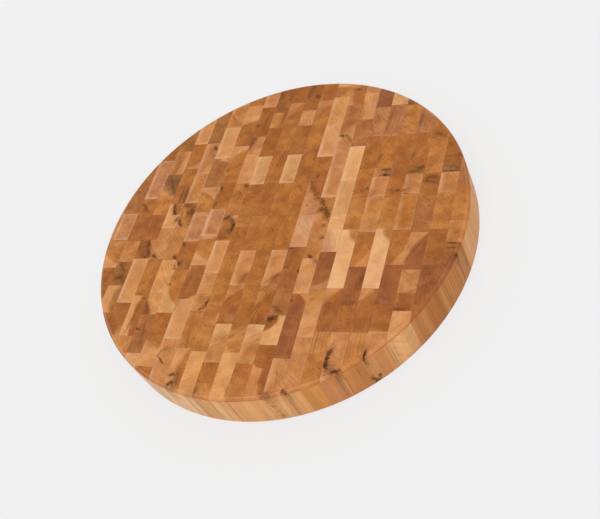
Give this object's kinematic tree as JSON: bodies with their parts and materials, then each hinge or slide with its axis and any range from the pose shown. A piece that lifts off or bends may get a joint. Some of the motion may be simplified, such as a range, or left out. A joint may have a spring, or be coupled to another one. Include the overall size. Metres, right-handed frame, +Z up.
{
  "type": "chopping block",
  "caption": "Round end-grain hardwood chopping block: strips of short staggered blocks glued side by side, flat on both faces, with bevelled rims.",
  "frame": {"origin": "centre of the underside", "axes": "+Z up through the middle of the round block, out of its cutting face; +Y along the glued strips; +X across them"},
  "size_m": [0.457, 0.457, 0.049],
  "materials": {
    "oiled_end_grain_wood": "satin, oiled"
  },
  "bodies": {
    "root": {"end_grain_strip_01": "oiled_end_grain_wood", "end_grain_strip_02": "oiled_end_grain_wood", "end_grain_strip_03": "oiled_end_grain_wood", "end_grain_strip_04": "oiled_end_grain_wood", "end_grain_strip_05": "oiled_end_grain_wood", "end_grain_strip_06": "oiled_end_grain_wood", "end_grain_strip_07": "oiled_end_grain_wood", "end_grain_strip_08": "oiled_end_grain_wood", "end_grain_strip_09": "oiled_end_grain_wood", "end_grain_strip_10": "oiled_end_grain_wood", "end_grain_strip_11": "oiled_end_grain_wood", "end_grain_strip_12": "oiled_end_grain_wood", "end_grain_strip_13": "oiled_end_grain_wood", "end_grain_strip_14": "oiled_end_grain_wood", "end_grain_strip_15": "oiled_end_grain_wood", "end_grain_strip_16": "oiled_end_grain_wood", "end_grain_strip_17": "oiled_end_grain_wood", "end_grain_strip_18": "oiled_end_grain_wood", "end_grain_strip_19": "oiled_end_grain_wood", "end_grain_strip_20": "oiled_end_grain_wood", "end_grain_strip_21": "oiled_end_grain_wood", "end_grain_strip_22": "oiled_end_grain_wood", "end_grain_strip_23": "oiled_end_grain_wood"}
  },
  "joints": []
}
